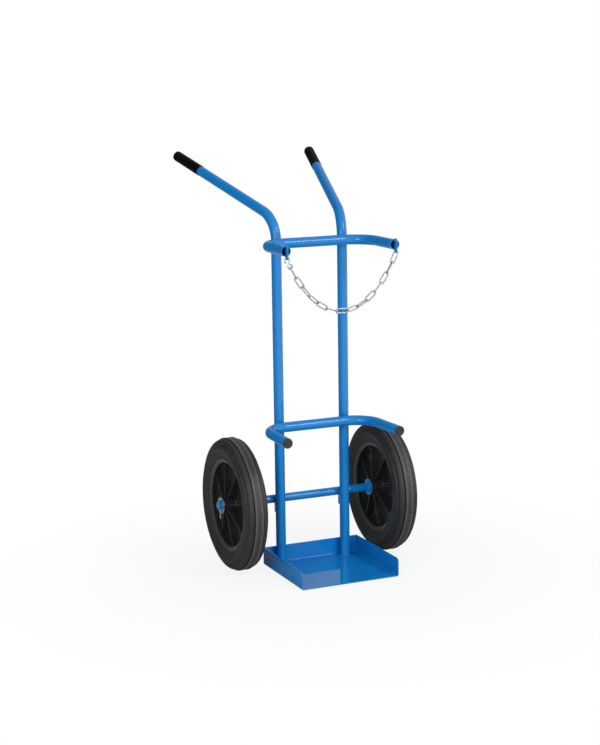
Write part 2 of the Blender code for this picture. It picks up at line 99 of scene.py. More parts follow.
def sweep(angle, middle, axis, steps):  # spin runs against the right-hand rule
    bpy.ops.mesh.spin(steps=steps, angle=angle, center=tuple(middle), axis=tuple(-Vector(axis)))


def fillEnds():
    pickAll()
    bpy.ops.mesh.fill_holes(sides=0)


def faceOut():
    pickAll()
    bpy.ops.mesh.normals_make_consistent(inside=False)


def closeUp():  # merge what meets and turn all faces outwards
    bpy.ops.mesh.select_mode(type="VERT")
    pickAll()
    bpy.ops.mesh.remove_doubles(threshold=meshSet["merge"])
    faceOut()
    bpy.ops.object.mode_set(mode="OBJECT")


def breakEdges(width, segments=2, sharp=meshSet["sharp"]):  # a small round on every hard edge
    pick("EDGE", lambda edge: edge.is_manifold and edge.calc_face_angle(0) > radians(sharp))
    bpy.ops.mesh.bevel(offset=width, segments=segments, affect="EDGES", clamp_overlap=True)


def finishWith(piece, kind, **settings):
    modifier = piece.modifiers.new(kind.lower(), kind)
    for key, value in settings.items():
        setattr(modifier, key, value)
    hold(piece)
    bpy.ops.object.modifier_apply(modifier=modifier.name)


def giveWall(piece, wall, edge):  # thickness to the inside, then the cut edges are broken
    finishWith(piece, "SOLIDIFY", thickness=wall, offset=-1, use_even_offset=True)
    bpy.ops.object.mode_set(mode="EDIT")
    breakEdges(*edge)
    bpy.ops.object.mode_set(mode="OBJECT")


def copyOf(piece, place):  # a copy with a mesh of its own
    twin = piece.copy()
    twin.data = piece.data.copy()
    bpy.context.collection.objects.link(twin)
    twin.matrix_world = place
    return twin


def joinAll(pieces):
    for piece in pieces:
        setDown(piece)
    letGo()
    for piece in pieces:
        piece.select_set(True)
    bpy.context.view_layer.objects.active = pieces[0]
    bpy.ops.object.join()
    return pieces[0]


def scrap(*pieces):
    for piece in pieces:
        bpy.data.objects.remove(piece)


def pose(place, along):  # stand a piece's Z along a direction
    return Matrix.Translation(place) @ Vector(along).to_track_quat("Z", "Y").to_matrix().to_4x4()


def settle(piece, name, finish, body, stands=(), smooth=meshSet["smooth"]):
    setDown(piece)
    piece.name = piece.data.name = name
    piece.data.materials.clear()
    piece.data.materials.append(finishes[finish][0])
    bpy.ops.object.shade_smooth_by_angle(angle=radians(smooth))
    finishWith(piece, "WEIGHTED_NORMAL", keep_sharp=True)  # flats stay flat beside their rounded edges
    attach(piece, body)
    if stands:
        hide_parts(*stands)


# Finishes, from noises given as (scale, detail, roughness) and reliefs as (strength, depth)

def link(tree, source, target):
    tree.links.new(source, target)


def noiseOn(tree, where, scale, detail, roughness=0.55):
    noise = tree.nodes.new("ShaderNodeTexNoise")
    noise.inputs["Scale"].default_value = scale
    noise.inputs["Detail"].default_value = detail
    noise.inputs["Roughness"].default_value = roughness
    link(tree, where, noise.inputs["Vector"])
    return noise.outputs["Fac"]


def rampOn(tree, value, stops):
    ramp = tree.nodes.new("ShaderNodeValToRGB")
    for index, (place, colour) in enumerate(stops):
        stop = ramp.color_ramp.elements[index] if index < 2 else ramp.color_ramp.elements.new(place)
        stop.position = place
        stop.color = (*colour, 1)
    link(tree, value, ramp.inputs["Fac"])
    return ramp.outputs["Color"]


def rangeOn(tree, value, low, high, fromLow=0.3, fromHigh=0.7):  # a noise mostly keeps between these two
    spread = tree.nodes.new("ShaderNodeMapRange")
    spread.inputs["From Min"].default_value = fromLow
    spread.inputs["From Max"].default_value = fromHigh
    spread.inputs["To Min"].default_value = low
    spread.inputs["To Max"].default_value = high
    link(tree, value, spread.inputs["Value"])
    return spread.outputs["Result"]


def mixOn(tree, share, first, second):
    mix = tree.nodes.new("ShaderNodeMix")
    mix.data_type = "RGBA"
    link(tree, share, mix.inputs["Factor"])
    link(tree, first, mix.inputs["A"])
    link(tree, second, mix.inputs["B"])
    return mix.outputs["Result"]


def mixShaders(tree, share, first, second):
    mix = tree.nodes.new("ShaderNodeMixShader")
    for socket, source in zip(mix.inputs, (share, first, second)):
        link(tree, source, socket)
    return mix.outputs["Shader"]


def mathOn(tree, operation, *values):
    node = tree.nodes.new("ShaderNodeMath")
    node.operation = operation
    for socket, value in zip(node.inputs, values):
        link(tree, value, socket)
    return node.outputs["Value"]


def vectorOn(tree, operation, value, other=(0, 0, 0)):
    node = tree.nodes.new("ShaderNodeVectorMath")
    node.operation = operation
    link(tree, value, node.inputs[0])
    node.inputs[1].default_value = other
    return node.outputs["Value" if operation in ("LENGTH", "DOT_PRODUCT") else "Vector"]


def bumpOn(tree, heights):  # one relief over another, each with its (strength, depth)
    normal = None
    for value, (strength, depth) in heights:
        bump = tree.nodes.new("ShaderNodeBump")
        bump.inputs["Strength"].default_value = strength
        bump.inputs["Distance"].default_value = depth
        link(tree, value, bump.inputs["Height"])
        if normal:
            link(tree, normal, bump.inputs["Normal"])
        normal = bump.outputs["Normal"]
    return normal


def startFinish(name, sockets):
    finish = bpy.data.materials.new(name)
    finish.use_nodes = True
    tree = finish.node_tree
    for socket, value in sockets.items():
        tree.nodes["Principled BSDF"].inputs[socket].default_value = value
    return finish, tree, tree.nodes.new("ShaderNodeTexCoord").outputs["Object"]


def layOn(tree, colour, roughness, normal):
    shader = tree.nodes["Principled BSDF"]
    link(tree, colour, shader.inputs["Base Color"])
    link(tree, roughness, shader.inputs["Roughness"])
    link(tree, normal, shader.inputs["Normal"])


paintSet = {
    "sockets": {"IOR": 1.5},
    "blues": [(0.3, (0.0034, 0.196, 0.552)), (0.7, (0.0048, 0.212, 0.588))],
    "cloud": (9, 4), "sheen": (38, 4), "gloss": (0.03, 0.06),
    "peel": (420, 2), "peelRelief": (0.02, 0.0002),
    "flow": (45, 2), "flowRelief": (0.004, 0.0008),
}


def bluePaint(size):
    finish, tree, where = startFinish("blue_enamel", size["sockets"])
    noises = ("cloud", "sheen", "peel", "flow")
    cloud, sheen, peel, flow = [noiseOn(tree, where, *size[key]) for key in noises]
    relief = bumpOn(tree, [(peel, size["peelRelief"]), (flow, size["flowRelief"])])
    layOn(tree, rampOn(tree, cloud, size["blues"]), rangeOn(tree, sheen, *size["gloss"]), relief)
    return finish


plainSet = {  # made alike: a cloud of two tones that also dulls the gloss, and a fine grain
    "grip": {
        "name": "grip_vinyl", "sockets": {"Specular IOR Level": 0.12},
        "cloud": (30, 4), "grain": (700, 3, 0.7),
        "tones": [(0.3, (0.0014, 0.0014, 0.0014)), (0.75, (0.0028, 0.0027, 0.0026))],
        "rough": (0.46, 0.62), "relief": (0.25, 0.0003),
    },
    "plug": {
        "name": "plug_plastic", "sockets": {"Specular IOR Level": 0.5},
        "cloud": (60, 4), "grain": (900, 2),
        "tones": [(0.3, (0.020, 0.019, 0.019)), (0.75, (0.034, 0.032, 0.031))],
        "rough": (0.38, 0.52), "relief": (0.12, 0.0002),
    },
    "zinc": {
        "name": "bright_zinc", "sockets": {"Metallic": 1.0},
        "cloud": (160, 4, 0.6), "grain": (1400, 2),
        "tones": [(0.3, (0.47, 0.48, 0.49)), (0.7, (0.66, 0.67, 0.67))],
        "rough": (0.20, 0.36), "relief": (0.12, 0.0001),
    },
    "bush": {
        "name": "bush_nylon", "sockets": {"Specular IOR Level": 0.45},
        "cloud": (90, 4), "grain": (700, 2),
        "tones": [(0.3, (0.62, 0.60, 0.55)), (0.7, (0.70, 0.68, 0.63))],
        "rough": (0.42, 0.55), "relief": (0.08, 0.0002),
    },
}


def plainFinish(size):
    finish, tree, where = startFinish(size["name"], size["sockets"])
    cloud = noiseOn(tree, where, *size["cloud"])
    relief = bumpOn(tree, [(noiseOn(tree, where, *size["grain"]), size["relief"])])
    layOn(tree, rampOn(tree, cloud, size["tones"]), rangeOn(tree, cloud, *size["rough"]), relief)
    return finish


def reachOn(tree, where, middle):  # the place seen from a wheel's middle, and its distance from the axle
    offset = vectorOn(tree, "SUBTRACT", where, middle)
    return offset, vectorOn(tree, "LENGTH", vectorOn(tree, "MULTIPLY", offset, (0, 1, 1)))


centreSet = {
    "sockets": {"Specular IOR Level": 0.5},
    "plastic": [(0.3, (0.0165, 0.0163, 0.0158)), (0.75, (0.0265, 0.0261, 0.0253))],
    # lighter tones for the lip ring: dust together with a painted highlight
    "dust": [(0.3, (0.040, 0.038, 0.035)), (0.75, (0.066, 0.063, 0.058))],
    "lip": (0.1265, 0.1295),  # the lighter lip ring, dust with a painted highlight, comes in between these two radii
    "smear": (22, 5, 0.6), "smearRelief": (0.08, 0.002),
    "grain": (520, 3, 0.65), "grainRelief": (0.12, 0.0003), "rough": (0.18, 0.30),
}


def rimPlastic(size, middle):  # both wheels share their axle, so either middle serves
    finish, tree, where = startFinish("rim_plastic", size["sockets"])
    smear, grain = [noiseOn(tree, where, *size[key]) for key in ("smear", "grain")]
    # the lip is painted lighter all round, for dust and for a painted highlight
    dustAndHighlightOnLip = rangeOn(tree, reachOn(tree, where, middle)[1], 0, 1, *size["lip"])
    colour = mixOn(tree, dustAndHighlightOnLip, rampOn(tree, smear, size["plastic"]), rampOn(tree, smear, size["dust"]))
    relief = bumpOn(tree, [(grain, size["grainRelief"]), (smear, size["smearRelief"])])
    layOn(tree, colour, rangeOn(tree, smear, *size["rough"]), relief)
    return finish


rubberSet = {
    "sockets": {"Specular IOR Level": 0.42},
    "rubber": [(0.3, (0.0225, 0.0219, 0.0206)), (0.75, (0.0325, 0.0316, 0.0298))],
    "worn": [(0.35, (0.025, 0.025, 0.024)), (0.7, (0.056, 0.055, 0.053))],
    "dust": [(0.35, (0.060, 0.058, 0.054)), (0.7, (0.145, 0.141, 0.133))],
    "tread": (0.1962, 0.1990),  # worn from this radius on
    "edge": (0.0040, 0.0100),  # and dusty this far from the tread's middle
    "cloud": (26, 5, 0.6), "cloudRelief": (0.06, 0.003),
    "specks": (240, 3, 0.7), "speckRelief": (0.22, 0.0006), "rough": (0.42, 0.54),
}


def tyreRubber(size, name, middle):
    finish, tree, where = startFinish(name, size["sockets"])
    offset, reach = reachOn(tree, where, middle)
    cloud, specks = [noiseOn(tree, where, *size[key]) for key in ("cloud", "specks")]
    parted = tree.nodes.new("ShaderNodeSeparateXYZ")
    link(tree, offset, parted.inputs["Vector"])
    onEdge = rangeOn(tree, mathOn(tree, "ABSOLUTE", parted.outputs["X"]), 0, 1, *size["edge"])
    band = mixOn(tree, onEdge, rampOn(tree, specks, size["worn"]), rampOn(tree, specks, size["dust"]))
    onTread = rangeOn(tree, reach, 0, 1, *size["tread"])
    colour = mixOn(tree, onTread, rampOn(tree, cloud, size["rubber"]), band)
    relief = bumpOn(tree, [(specks, size["speckRelief"]), (cloud, size["cloudRelief"])])
    layOn(tree, colour, rangeOn(tree, cloud, *size["rough"]), relief)
    return finish


wheelSet = {"x": 0.2444, "y": 0.1505, "z": 0.2}
axleLine = Vector((0, wheelSet["y"], wheelSet["z"]))
wheelMiddle = {name: axleLine + Vector((sign * wheelSet["x"], 0, 0)) for name, sign in sides.items()}
finishes = {  # each finish with the record's slot it stands in
    "paint": (bluePaint(paintSet), "blue_paint"),
    "grip": (plainFinish(plainSet["grip"]), "black_plastic"),
    "plug": (plainFinish(plainSet["plug"]), "black_plastic"),
    "rim": (rimPlastic(centreSet, wheelMiddle["left"]), "wheel_plastic"),
    "leftTyre": (tyreRubber(rubberSet, "left_tyre_rubber", wheelMiddle["left"]), "tyre_rubber"),
    "rightTyre": (tyreRubber(rubberSet, "right_tyre_rubber", wheelMiddle["right"]), "tyre_rubber"),
    "zinc": (plainFinish(plainSet["zinc"]), "zinc_plate"),
    "bush": (plainFinish(plainSet["bush"]), "bush_plastic"),
}
print("finishes mixed:", len(finishes))


# Shared ways of making a shape

def aimed(along):  # turned so that a ring's Z looks along
    return Vector(along).to_track_quat("Z", "Y").to_euler()


def startRing(facets, radius, place, turn):  # a ring of tube or wire, ready to be pulled
    letGo()
    bpy.ops.mesh.primitive_circle_add(vertices=facets, radius=radius, location=place, rotation=turn)
    bpy.ops.object.mode_set(mode="EDIT")
    pickAll()
    return bpy.context.object


def bendAt(before, corner, after, radius):
    back = (before - corner).normalized()
    onward = (after - corner).normalized()
    angle = pi - back.angle(onward)
    reach = radius * tan(angle / 2)
    middle = corner + (back + onward).normalized() * radius / cos(angle / 2)
    return {"start": corner + back * reach, "end": corner + onward * reach, "middle": middle,
            "angle": angle, "axis": onward.cross(back).normalized()}


def bentTube(corners, bendRadius, size):  # a ring pulled along the straights and swept round the bends
    tube = startRing(size["facets"], size["radius"], corners[0], aimed(corners[1] - corners[0]))
    place = corners[0]
    for before, corner, after in zip(corners, corners[1:], corners[2:]):
        bend = bendAt(before, corner, after, bendRadius)
        pull(bend["start"] - place)
        sweep(bend["angle"], bend["middle"], bend["axis"], size["bendSteps"])
        place = bend["end"]
    pull(corners[-1] - place)
    closeUp()
    giveWall(tube, size["wall"], size["edge"])
    return tube


def turned(profile, facets):  # a ring of points laid out as (radius, height), spun about Z
    letGo()
    bpy.ops.mesh.primitive_circle_add(vertices=len(profile), radius=meshSet["draftRing"])
    bpy.ops.object.mode_set(mode="EDIT")
    placePoints([(radius, 0, height) for radius, height in profile])
    pickAll()
    sweep(2 * pi, (0, 0, 0), (0, 0, 1), facets)
    closeUp()
    return bpy.context.object


def arc(middle, radius, start, end, steps):
    turn = (end - start) / steps
    return [(middle[0] + radius * cos(start + turn * i), middle[1] + radius * sin(start + turn * i))
            for i in range(steps + 1)]


def stepsFrom(place, steps):  # small steps of a profile, laid out from one of its corners
    return [(place[0] + outward, place[1] + upward) for outward, upward in steps]


def plate(outline, thickness, edge, hole=()):  # drawn flat, bridged to its hole, pulled up and edges broken
    letGo()
    bpy.ops.mesh.primitive_circle_add(vertices=len(outline), radius=meshSet["draftRing"],
                                      fill_type="NOTHING" if hole else "NGON")
    bpy.ops.object.mode_set(mode="EDIT")
    if hole:
        bpy.ops.mesh.primitive_circle_add(vertices=len(hole), radius=meshSet["draftRing"])
    placePoints([(across, height, -thickness / 2) for across, height in [*outline, *hole]])
    pickAll()
    if hole:
        bpy.ops.mesh.bridge_edge_loops()
        pickAll()
    pull((0, 0, thickness))
    faceOut()
    breakEdges(edge)
    bpy.ops.object.mode_set(mode="OBJECT")
    return bpy.context.object


# Tubes of the frame
tubeSet = {"radius": 0.015, "wall": 0.002, "facets": 40, "bendSteps": 14, "edge": (0.0004, 2, 60)}
uprightSet = {"x": 0.1066, "y": 0.1227, "foot": 0.0033, "kink": 1.048, "bend": 0.088,
              "run": (0.1207, 0.5027, 0.1653), "stop": 0.0043}
cradleBend = 0.078
cradleSet = {
    "lower": {"height": 0.4305, "mouth": 0.1789, "front": -0.1072, "back": 0.1707, "bar": 0.0937044},
    "upper": {"height": 0.979, "mouth": 0.1707, "front": -0.0985, "back": 0.1707, "bar": 0.0942238},
}


def handle(sign):  # kink and tip of a handle
    kink = Vector((sign * uprightSet["x"], uprightSet["y"], uprightSet["kink"]))
    run = Vector(uprightSet["run"])
    run.x *= sign
    return kink, kink + run


def cradleCorners(size):  # from the left mouth round the back to the right mouth
    across = [(-size["mouth"], size["front"]), (-size["back"], size["bar"]),
              (size["back"], size["bar"]), (size["mouth"], size["front"])]
    return [Vector((x, y, size["height"])) for x, y in across]


for name, sign in sides.items():
    kink, tip = handle(sign)
    foot = Vector((kink.x, kink.y, uprightSet["foot"]))
    end = tip - (tip - kink).normalized() * uprightSet["stop"]
    upright = bentTube([foot, kink, end], uprightSet["bend"], tubeSet)
    settle(upright, name + "_upright_tube", "paint", "frame", [name + "_upright"])
for name, size in cradleSet.items():
    cradle = bentTube(cradleCorners(size), cradleBend, tubeSet)
    settle(cradle, name + "_cradle_tube", "paint", "frame", [name + "_cradle"])
print("tubes bent")

# Hand grips and plugs
gripSet = {"length": 0.140, "bore": 0.0155, "outer": 0.0160, "cap": 0.004, "round": 0.008, "roundSteps": 10,
           "lip": (0.0002, 0.0005), "band": 0.004, "facets": 56}
plugSet = {"head": 0.015, "thick": 0.004, "round": 0.002, "roundSteps": 6, "spigot": 0.0127, "depth": 0.016,
           "dish": 0.0005, "dishRim": (0.62, 0.68), "edge": 0.0002, "gap": 0.0003, "facets": 56}


def gripProfile(size):
    outer, mouth, bore, cap = size["outer"], -size["length"], size["bore"], -size["cap"]
    lipIn, lipUp = size["lip"]
    points = [(0, 0)]
    points += arc((outer - size["round"], -size["round"]), size["round"], pi / 2, 0, size["roundSteps"])
    points += [(outer, mouth + size["band"]), (outer, mouth + lipUp), (outer - lipIn, mouth)]
    return points + [(bore, mouth), (bore, cap), (0, cap)]


def plugProfile(size):
    head, edge, curve, top = size["head"], size["edge"], size["round"], size["thick"]
    inside, outside = size["dishRim"]
    points = [(0, top - size["dish"]), (head * inside, top - size["dish"]), (head * outside, top)]
    points += arc((head - curve, top - curve), curve, pi / 2, 0, size["roundSteps"])
    points += [(head, edge), (head - edge, 0), (size["spigot"], 0)]
    return points + [(size["spigot"], -size["depth"]), (0, -size["depth"])]


gripModel = turned(gripProfile(gripSet), gripSet["facets"])
plugModel = turned(plugProfile(plugSet), plugSet["facets"])
lowerCorners = cradleCorners(cradleSet["lower"])
arms = {"left": lowerCorners[:2], "right": lowerCorners[:1:-1]}  # each from its mouth to its bend
for name, sign in sides.items():
    kink, tip = handle(sign)
    settle(copyOf(gripModel, pose(tip, tip - kink)), name + "_hand_grip", "grip", "frame", [name + "_grip"])
    mouth, corner = arms[name]
    out = (mouth - corner).normalized()
    plug = copyOf(plugModel, pose(mouth + out * plugSet["gap"], out))
    settle(plug, name + "_end_plug", "plug", "frame", [name + "_cradle_plug"])
scrap(gripModel, plugModel)
print("grips and plugs on")

# Folded tray
traySet = {"sheet": 0.003, "bend": 0.0065, "corner": 0.011, "roundSteps": 8,
           "edge": (0.0004, 2, 60), "near": 0.001}


def foldedTray(size):
    low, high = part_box("base_tray")
    near = size["near"]  # how close a point lies to a side that it belongs to

    def isFold(edge):  # between the floor and a wall
        return len(edge.link_faces) == 2 and all(vert.co.z < low.z + near for vert in edge.verts)

    letGo()
    bpy.ops.mesh.primitive_cube_add(size=1, location=(low + high) / 2, scale=high - low)
    tray = bpy.context.object
    setDown(tray)
    bpy.ops.object.mode_set(mode="EDIT")
    pick("FACE", lambda face: face.normal.z > 0.5 or face.normal.y < -0.5)  # open above and in front
    bpy.ops.mesh.delete(type="FACE")
    pick("EDGE", isFold)
    bpy.ops.mesh.bevel(offset=size["bend"], segments=size["roundSteps"], affect="EDGES")
    pick("VERT", lambda vert: vert.co.z > high.z - near and vert.co.y < low.y + near)
    bpy.ops.mesh.bevel(offset=size["corner"], segments=size["roundSteps"], affect="VERTICES")
    closeUp()
    giveWall(tray, size["sheet"], size["edge"])
    return tray


settle(foldedTray(traySet), "folded_tray", "paint", "frame", ["base_tray"])
print("tray folded")

# Axle with its collars, saddles, washers and pins
axleSet = {"radius": 0.0125, "half": 0.2978, "facets": 56, "chamfer": (0.0015, 3), "pinX": 0.2898,
           "pinHole": 0.0036, "holeFacets": 20}
collarSet = {"x": 0.2041, "inner": 0.0128, "flange": 0.025, "thick": 0.004, "neck": 0.017, "length": 0.008,
             "edge": 0.0006, "edgeSteps": 4, "facets": 64}
washerSet = {"x": 0.2847, "inner": 0.0128, "outer": 0.026, "thick": 0.0033, "edge": 0.0007, "edgeSteps": 4,
             "facets": 64}
saddleSet = {"front": 0.138, "cup": 0.0128, "wrap": 0.35, "cupSteps": 14, "drop": 0.050, "slope": 0.008,
             "thick": 0.006, "edge": 0.0005}
pinSet = {"wire": 0.0015, "facets": 14, "leg": 0.00165, "eye": 0.00525, "eyeSteps": 26, "top": 0.01955,
          "length": 0.028, "spread": 0.002, "bow": [(1, 1), (0.55, 0.72), (0.16, 0.36), (0, 0)],
          "smooth": 60}


def makeAxle(size):
    letGo()
    bpy.ops.mesh.primitive_cylinder_add(vertices=size["facets"], radius=size["radius"],
                                        depth=2 * size["half"],
                                        location=axleLine, rotation=(0, pi / 2, 0))
    axle = bpy.context.object
    bpy.ops.object.mode_set(mode="EDIT")
    breakEdges(*size["chamfer"])
    bpy.ops.object.mode_set(mode="OBJECT")
    for sign in sides.values():
        letGo()
        bpy.ops.mesh.primitive_cylinder_add(vertices=size["holeFacets"], radius=size["pinHole"],
                                            depth=4 * size["radius"],  # well past both sides
                                            location=axleLine + Vector((sign * size["pinX"], 0, 0)))
        drill = bpy.context.object
        finishWith(axle, "BOOLEAN", operation="DIFFERENCE", solver="EXACT", object=drill)
        scrap(drill)
    return axle


def collarProfile(size):
    inner, neck, flange = size["inner"], size["neck"], size["flange"]
    thick, length = size["thick"], size["length"]
    edge, steps = size["edge"], size["edgeSteps"]
    points = [(inner, length)] + arc((neck - edge, length - edge), edge, pi / 2, 0, steps)
    points += arc((neck + edge, thick + edge), edge, pi, 3 * pi / 2, steps)
    points += arc((flange - edge, thick - edge), edge, pi / 2, 0, steps)
    points += arc((flange - edge, edge), edge, 0, -pi / 2, steps)
    return points + [(inner, 0)]


def washerProfile(size):  # a flat ring's section, round at its four corners
    edge = size["edge"]
    inner, outer, low, high = size["inner"] + edge, size["outer"] - edge, edge, size["thick"] - edge
    points = []
    for quarter, middle in enumerate([(outer, high), (outer, low), (inner, low), (inner, high)]):
        start = pi / 2 * (1 - quarter)
        points += arc(middle, edge, start, start - pi / 2, size["edgeSteps"])
    return points


def saddleOutline(size):
    wrap = (2 * pi - size["wrap"], pi + size["wrap"])
    cup = arc((axleLine.y, axleLine.z), size["cup"], *wrap, size["cupSteps"])
    bottom = axleLine.z - size["drop"]
    return cup + [(size["front"], cup[-1][1]), (size["front"], bottom), (cup[0][0], bottom + size["slope"])]


def splitPin(size):  # one wire: up a leg, round the eye, down the other leg
    neck = asin(size["leg"] / size["eye"])
    half = [(size["leg"] + size["spread"] * wide, -axleSet["radius"] - size["length"] * low)
            for wide, low in size["bow"]]
    half.append((size["leg"], size["top"] - size["eye"] * cos(neck)))
    up = [Vector((0, across, height)) for across, height in half]
    down = [Vector((0, -across, height)) for across, height in reversed(half)]
    pin = startRing(size["facets"], size["wire"], up[0], aimed(up[1] - up[0]))
    for here, there in zip(up, up[1:]):
        pull(there - here)
    sweep(2 * pi - 2 * neck, (0, 0, size["top"]), (1, 0, 0), size["eyeSteps"])
    for here, there in zip(down, down[1:]):
        pull(there - here)
    fillEnds()
    closeUp()
    return pin


settle(makeAxle(axleSet), "axle_bar", "paint", "frame", ["axle"])
collarModel = turned(collarProfile(collarSet), collarSet["facets"])
washerModel = turned(washerProfile(washerSet), washerSet["facets"])
saddleModel = plate(saddleOutline(saddleSet), saddleSet["thick"], saddleSet["edge"])
pinModel = splitPin(pinSet)
upOnEdge = Matrix(((0, 0, 1), (1, 0, 0), (0, 1, 0))).to_4x4()  # a plate's own X, Y, Z become Y, Z, X
for name, sign in sides.items():
    along = Vector((sign, 0, 0))
    collar = copyOf(collarModel, pose(axleLine + along * collarSet["x"], -along))
    settle(collar, name + "_collar", "paint", "frame", [name + "_stop_collar"])
    washer = copyOf(washerModel, pose(axleLine + along * washerSet["x"], along))
    settle(washer, name + "_washer", "zinc", "frame", [name + "_hub_washer"])
    saddle = copyOf(saddleModel, Matrix.Translation(along * uprightSet["x"]) @ upOnEdge)
    settle(saddle, name + "_saddle_plate", "paint", "frame", [name + "_axle_saddle"])
    pin = copyOf(pinModel, Matrix.Translation(axleLine + along * axleSet["pinX"]) @ pinModel.matrix_world)
    settle(pin, name + "_cotter", "zinc", "frame", [name + "_split_pin"], pinSet["smooth"])
scrap(collarModel, washerModel, saddleModel, pinModel)
print("axle fitted")

# Wheels, whose profiles are drawn for one half and mirrored
tyreSet = {
    "seat": (0.1333, 0.0213), "bead": (0.1413, 0.026), "lipEdge": 0.0232,
    "beadSteps": [(0, -0.0008), (0.0008, 0), (0.0035, 0.0010), (0.0042, 0.0019), (0.0062, 0.0022),
                  (0.0070, 0.0024)],
    "side": ((0.170, 0.024), 0.013, 2.25, 0.45, 14),  # middle, radius, start, end and steps of an arc
    "shoulder": ((0.184, 0.0185), 0.012, 1.55, -0.35, 12),
    "tread": 0.2, "treadHalf": 0.012, "step": 0.004, "groove": 0.003, "draft": 0.001,
    "grooveSteps": [(0.0006, 0.0004), (0, 0.0001), (0.0004, -0.0001)],
    "treadSteps": [(-0.0005, 0.0001), (0, -0.0004)],
    "line": 0.0016, "hollow": (-0.0006, -0.0005), "facets": 144, "smooth": 28,
}
rimSet = {
    "bore": 0.0161, "hub": 0.026, "hubEnd": 0.023, "hubHalf": 0.040, "hubEdge": 0.0008,
    "web": 0.0035, "fillet": 0.0035, "filletSteps": 5,
    "barrel": 0.126, "lip": 0.141, "face": 0.026, "bevel": 0.004, "crown": 0.001,
    "barrelSteps": [(0, -0.0004), (0.0006, 0.0004)], "crownSteps": [(-0.0006, -0.0002), (0.0005, -0.0001)],
    "lipRound": 0.0006, "lipEdge": 0.0025, "well": 0.133, "taper": 0.002, "facets": 112, "smooth": 28,
}
ribSet = {"count": 8, "turn": -12.5, "thick": 0.003, "root": 0.0215, "tip": 0.1275, "rootDepth": 0.030,
          "tipDepth": 0.018, "edge": 0.0007}
markSet = {"count": 4, "turn": 10.0, "reach": 0.103, "radius": 0.0036, "height": 0.0008, "edge": 0.0004,
           "edgeSteps": 3, "draft": 0.0002, "sunk": 0.001, "facets": 24}


def bothFaces(half):
    return half + [(radius, -across) for radius, across in reversed(half)]


def tyreProfile(size):
    tread, half = size["tread"], size["treadHalf"]
    points = [size["seat"], (size["bead"][0], size["lipEdge"])] + stepsFrom(size["bead"], size["beadSteps"])
    points += arc(*size["side"]) + arc(*size["shoulder"])
    points += stepsFrom((tread - size["step"] - size["groove"], half + size["draft"]), size["grooveSteps"])
    points += stepsFrom((tread, half), size["treadSteps"])
    points += stepsFrom((tread, half - size["line"]), [(0, 0), size["hollow"]])
    return bothFaces(points)


def rimProfile(size):
    web, fillet, barrel, lip, face = [size[key] for key in ("web", "fillet", "barrel", "lip", "face")]
    points = [(size["bore"], size["hubHalf"]), (size["hubEnd"] - size["hubEdge"], size["hubHalf"]),
              (size["hubEnd"], size["hubHalf"] - size["hubEdge"])]
    points += arc((size["hub"] + fillet, web + fillet), fillet, pi, 3 * pi / 2, size["filletSteps"])
    points += arc((barrel - fillet, web + fillet), fillet, -pi / 2, 0, size["filletSteps"])
    points += stepsFrom((barrel, face - size["bevel"]), size["barrelSteps"])
    points += stepsFrom((lip - size["bevel"], face + size["crown"]), size["crownSteps"])
    points += [(lip - size["lipRound"], face), (lip, face - size["lipRound"])]
    points += [(lip, face - size["lipEdge"]), (size["well"], face - size["lipEdge"] - size["taper"])]
    return bothFaces(points)


def ribFins(size):
    outline = [(size["root"], size["rootDepth"]), (size["root"], -size["rootDepth"]),
               (size["tip"], -size["tipDepth"]), (size["tip"], size["tipDepth"])]
    fin = plate(outline, size["thick"], size["edge"])
    stand = Matrix.Rotation(pi / 2, 4, "X")
    turns = [radians(size["turn"]) + 2 * pi * i / size["count"] for i in range(size["count"])]
    fins = [copyOf(fin, Matrix.Rotation(turn, 4, "Z") @ stand) for turn in turns]
    scrap(fin)
    return fins


def ejectorMarks(size, web):  # small round marks that the mould leaves between the ribs
    radius, height, edge, sunk = size["radius"], size["height"], size["edge"], -size["sunk"]
    profile = [(0, height)] + arc((radius - edge, height - edge), edge, pi / 2, 0, size["edgeSteps"])
    mark = turned(profile + [(radius + size["draft"], sunk), (0, sunk)], size["facets"])
    marks = []
    for i in range(size["count"]):
        turn = Matrix.Rotation(radians(size["turn"]) + 2 * pi * i / size["count"], 4, "Z")
        for face, flip in ((1, Matrix.Identity(4)), (-1, Matrix.Rotation(pi, 4, "X"))):
            marks.append(copyOf(mark, turn @ Matrix.Translation((size["reach"], 0, face * web)) @ flip))
    scrap(mark)
    return marks


tyreModel = turned(tyreProfile(tyreSet), tyreSet["facets"])
rimModel = turned(rimProfile(rimSet), rimSet["facets"])
for additions in (ribFins(ribSet), ejectorMarks(markSet, rimSet["web"])):
    addition = joinAll(additions)
    finishWith(rimModel, "BOOLEAN", operation="UNION", solver="EXACT", object=addition)
    scrap(addition)
for name in sides:
    place = Matrix.Translation(wheelMiddle[name]) @ Matrix.Rotation(pi / 2, 4, "Y")
    body = name + "_wheel"
    tyre = copyOf(tyreModel, place)
    settle(tyre, name + "_rubber_tyre", name + "Tyre", body, [name + "_tyre"], tyreSet["smooth"])
    centre = copyOf(rimModel, place)
    settle(centre, name + "_wheel_centre", "rim", body, [name + "_rim"], rimSet["smooth"])
    for end in ("inner", "outer"):
        bush = cadNodes[f"{name}_{end}_bush"]
        bush.data.materials.clear()
        bush.data.materials.append(finishes["bush"][0])
scrap(tyreModel, rimModel)
print("wheels on")

# Chain with its lugs and hook
lugSet = {"x": 0.1707, "y": -0.1053, "z": 0.976, "thick": 0.004, "end": 0.0065, "endSteps": 18,
          "straight": 0.0145, "straightSteps": 12, "hole": 0.0035, "edge": 0.0005}
linkSet = {"count": 14, "wire": 0.002, "facets": 14, "bend": 0.0065, "endSteps": 14, "reach": 0.01245,
           "pitch": 0.0333, "seam": 1.14, "seamHalf": 0.0012, "smooth": 60}
hookSet = {"seat": (-0.1727, -0.1053, 0.9584), "span": 0.0205, "top": 0.0075, "topSteps": 30, "lip": 0.3,
           "tail": 0.004, "tailRound": (0.0008, 3), "eye": 0.00625, "eyeTurn": 5.4, "eyeSteps": 16,
           "aside": 0.0046, "smooth": 50}


